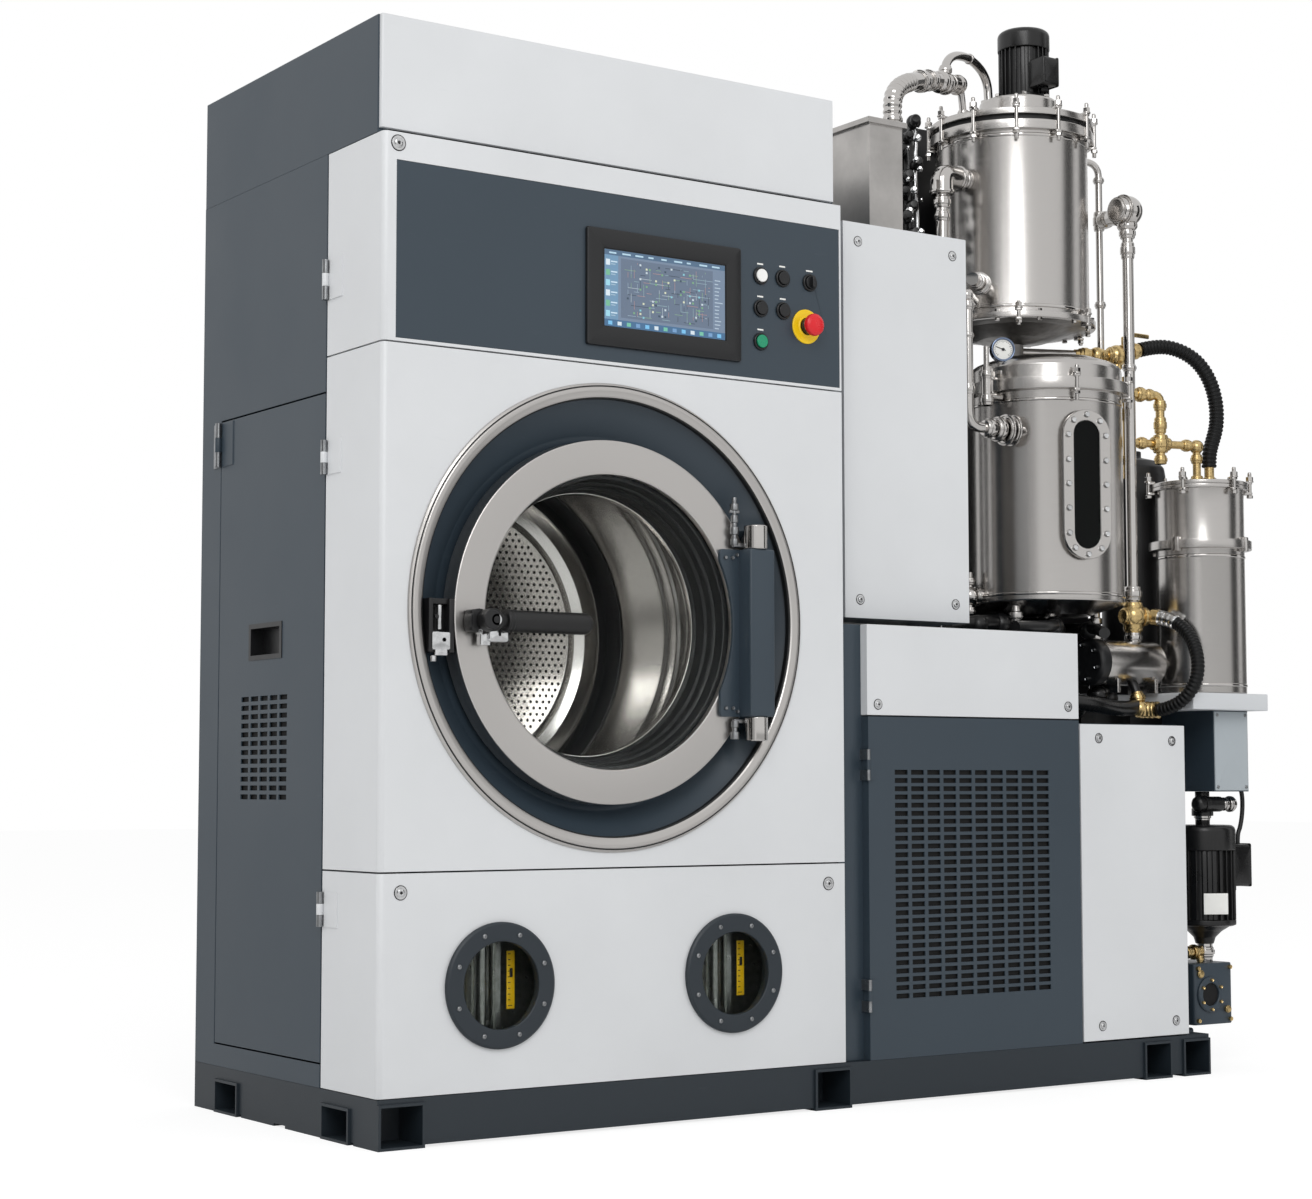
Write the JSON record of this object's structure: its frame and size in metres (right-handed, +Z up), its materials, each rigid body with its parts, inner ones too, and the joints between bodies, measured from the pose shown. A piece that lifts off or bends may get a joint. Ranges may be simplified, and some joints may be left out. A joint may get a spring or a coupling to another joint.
{
  "type": "dry cleaning machine",
  "caption": "Dry cleaning machine with a drum behind a round loading door, a touch screen panel, a refrigeration cabinet, and a tower with a still, filters, pipes and a pump.",
  "frame": {"origin": "on the floor, under the centre of the whole machine's bounding box", "axes": "+X to the right along the front, +Y from the front towards the back, +Z up"},
  "size_m": [2.303, 0.802, 2.325],
  "materials": {
    "slate_paint": "satin",
    "white_paint": "satin",
    "frame_paint": "satin",
    "stainless": "brushed",
    "black_paint": "satin",
    "rubber": "matte",
    "hinge_steel": "satin",
    "screen_plastic": "gloss",
    "black_plastic": "gloss",
    "white_plastic": "gloss",
    "green_plastic": "gloss",
    "red_plastic": "gloss",
    "glass": "clear",
    "cast_iron": "machined",
    "motor_paint": "satin",
    "brass": "polished",
    "hose_rubber": "ribbed"
  },
  "bodies": {
    "machine": {"base_frame": "slate_paint", "cabinet_frame": "frame_paint", "left_side_panel": "slate_paint", "rear_casing": "slate_paint", "hood_casing": "slate_paint", "hood_front": "white_paint", "panel_hinges": "hinge_steel", "solvent_tank": "stainless", "door_gasket": "rubber", "door_mountings": "black_paint", "tub_front": "slate_paint", "tub_shell": "frame_paint", "drive_belt": "rubber", "drive_motor": "motor_paint", "right_cabinet": "slate_paint", "side_cabinet": "slate_paint", "cabinet_covers": "white_paint", "condenser_box": "stainless", "still_body": "stainless", "tank_lids": "stainless", "stirrer_motor": "motor_paint", "filter_tank": "stainless", "sight_window": "stainless", "tank_supports": "slate_paint", "steel_pipes": "stainless", "brass_fittings": "brass", "receiver_vessel": "stainless", "separator_tank": "stainless", "carbon_tank": "slate_paint", "electrical_box": "motor_paint", "pump": "motor_paint", "overflow_hose": "hose_rubber", "drain_hose": "hose_rubber", "pump_cable": "rubber"},
    "upper_panel": {"upper_front_panel": "white_paint", "control_fascia": "slate_paint", "hmi_unit": "screen_plastic", "panel_fittings": "black_plastic"},
    "middle_panel": {"middle_front_panel": "white_paint", "door_trim_ring": "stainless"},
    "lower_panel": {"lower_front_panel": "white_paint", "porthole_windows": "stainless"},
    "side_hatch": {"side_door": "slate_paint", "side_pull": "black_plastic"},
    "loading_door": {"door_ring": "stainless", "door_glass": "glass", "door_seal": "rubber", "door_hardware": "black_paint"},
    "door_lever": {"door_handle": "black_paint"},
    "drum_unit": {"drum": "stainless", "drum_pulley": "cast_iron"},
    "motor_rotor": {"motor_pulley": "cast_iron"},
    "air_grille": {"grille_door": "slate_paint"},
    "selector": {"selector_switch": "black_plastic"},
    "stop": {"stop_button": "red_plastic"},
    "white_button_cap": {"white_button": "white_plastic"},
    "black_button_a_cap": {"black_button_a": "black_plastic"},
    "black_button_b_cap": {"black_button_b": "black_plastic"},
    "black_button_c_cap": {"black_button_c": "black_plastic"},
    "green_button_cap": {"green_button": "green_plastic"}
  },
  "joints": [
    {"name": "upper_panel_hinge", "type": "hinge", "parent": "machine", "child": "upper_panel", "pos_m": [-1.1455, -0.134, 1.518], "axis": [0, 0, -1], "range_deg": [0, 90]},
    {"name": "middle_panel_hinge", "type": "hinge", "parent": "machine", "child": "middle_panel", "pos_m": [-1.1455, -0.134, 1.198], "axis": [0, 0, -1], "range_deg": [0, 90]},
    {"name": "lower_panel_hinge", "type": "hinge", "parent": "machine", "child": "lower_panel", "pos_m": [-1.1455, -0.134, 0.397], "axis": [0, 0, -1], "range_deg": [0, 90]},
    {"name": "side_door_hinge", "type": "hinge", "parent": "machine", "child": "side_hatch", "pos_m": [-1.1455, 0.3145, 1.27], "axis": [0, 0, -1], "range_deg": [0, 110]},
    {"name": "loading_door_hinge", "type": "hinge", "parent": "machine", "child": "loading_door", "pos_m": [-0.3595, -0.366, 0.911], "axis": [0, 0, 1], "range_deg": [0, 100]},
    {"name": "door_handle_pivot", "type": "hinge", "parent": "loading_door", "child": "door_lever", "pos_m": [-0.9445, -0.379, 0.901], "axis": [0, -1, 0], "range_deg": [0, 60]},
    {"name": "drum_spin", "type": "hinge", "parent": "machine", "child": "drum_unit", "pos_m": [-0.6625, 0.001, 0.911], "axis": [0, 1, 0], "continuous": true},
    {"name": "motor_spin", "type": "hinge", "parent": "machine", "child": "motor_rotor", "pos_m": [-0.2665, 0.261, 0.25], "axis": [0, 1, 0], "continuous": true},
    {"name": "grille_door_hinge", "type": "hinge", "parent": "machine", "child": "air_grille", "pos_m": [-0.0715, -0.3435, 0.43], "axis": [0, 0, -1], "range_deg": [0, 88]},
    {"name": "selector_turn", "type": "hinge", "parent": "upper_panel", "child": "selector", "pos_m": [-0.2065, -0.339, 1.586], "axis": [0, 1, 0], "range_deg": [-45, 45]},
    {"name": "stop_press", "type": "slide", "parent": "upper_panel", "child": "stop", "axis": [0, 1, 0], "range_m": [0, 0.005], "stiffness_N_per_m": 1500},
    {"name": "white_button_press", "type": "slide", "parent": "upper_panel", "child": "white_button_cap", "axis": [0, 1, 0], "range_m": [0, 0.003], "stiffness_N_per_m": 600},
    {"name": "black_button_a_press", "type": "slide", "parent": "upper_panel", "child": "black_button_a_cap", "axis": [0, 1, 0], "range_m": [0, 0.003], "stiffness_N_per_m": 600},
    {"name": "black_button_b_press", "type": "slide", "parent": "upper_panel", "child": "black_button_b_cap", "axis": [0, 1, 0], "range_m": [0, 0.003], "stiffness_N_per_m": 600},
    {"name": "black_button_c_press", "type": "slide", "parent": "upper_panel", "child": "black_button_c_cap", "axis": [0, 1, 0], "range_m": [0, 0.003], "stiffness_N_per_m": 600},
    {"name": "green_button_press", "type": "slide", "parent": "upper_panel", "child": "green_button_cap", "axis": [0, 1, 0], "range_m": [0, 0.003], "stiffness_N_per_m": 600}
  ],
  "couplings": [
    {"joint": "motor_spin", "follows": "drum_spin", "ratio": 4.8571}
  ]
}
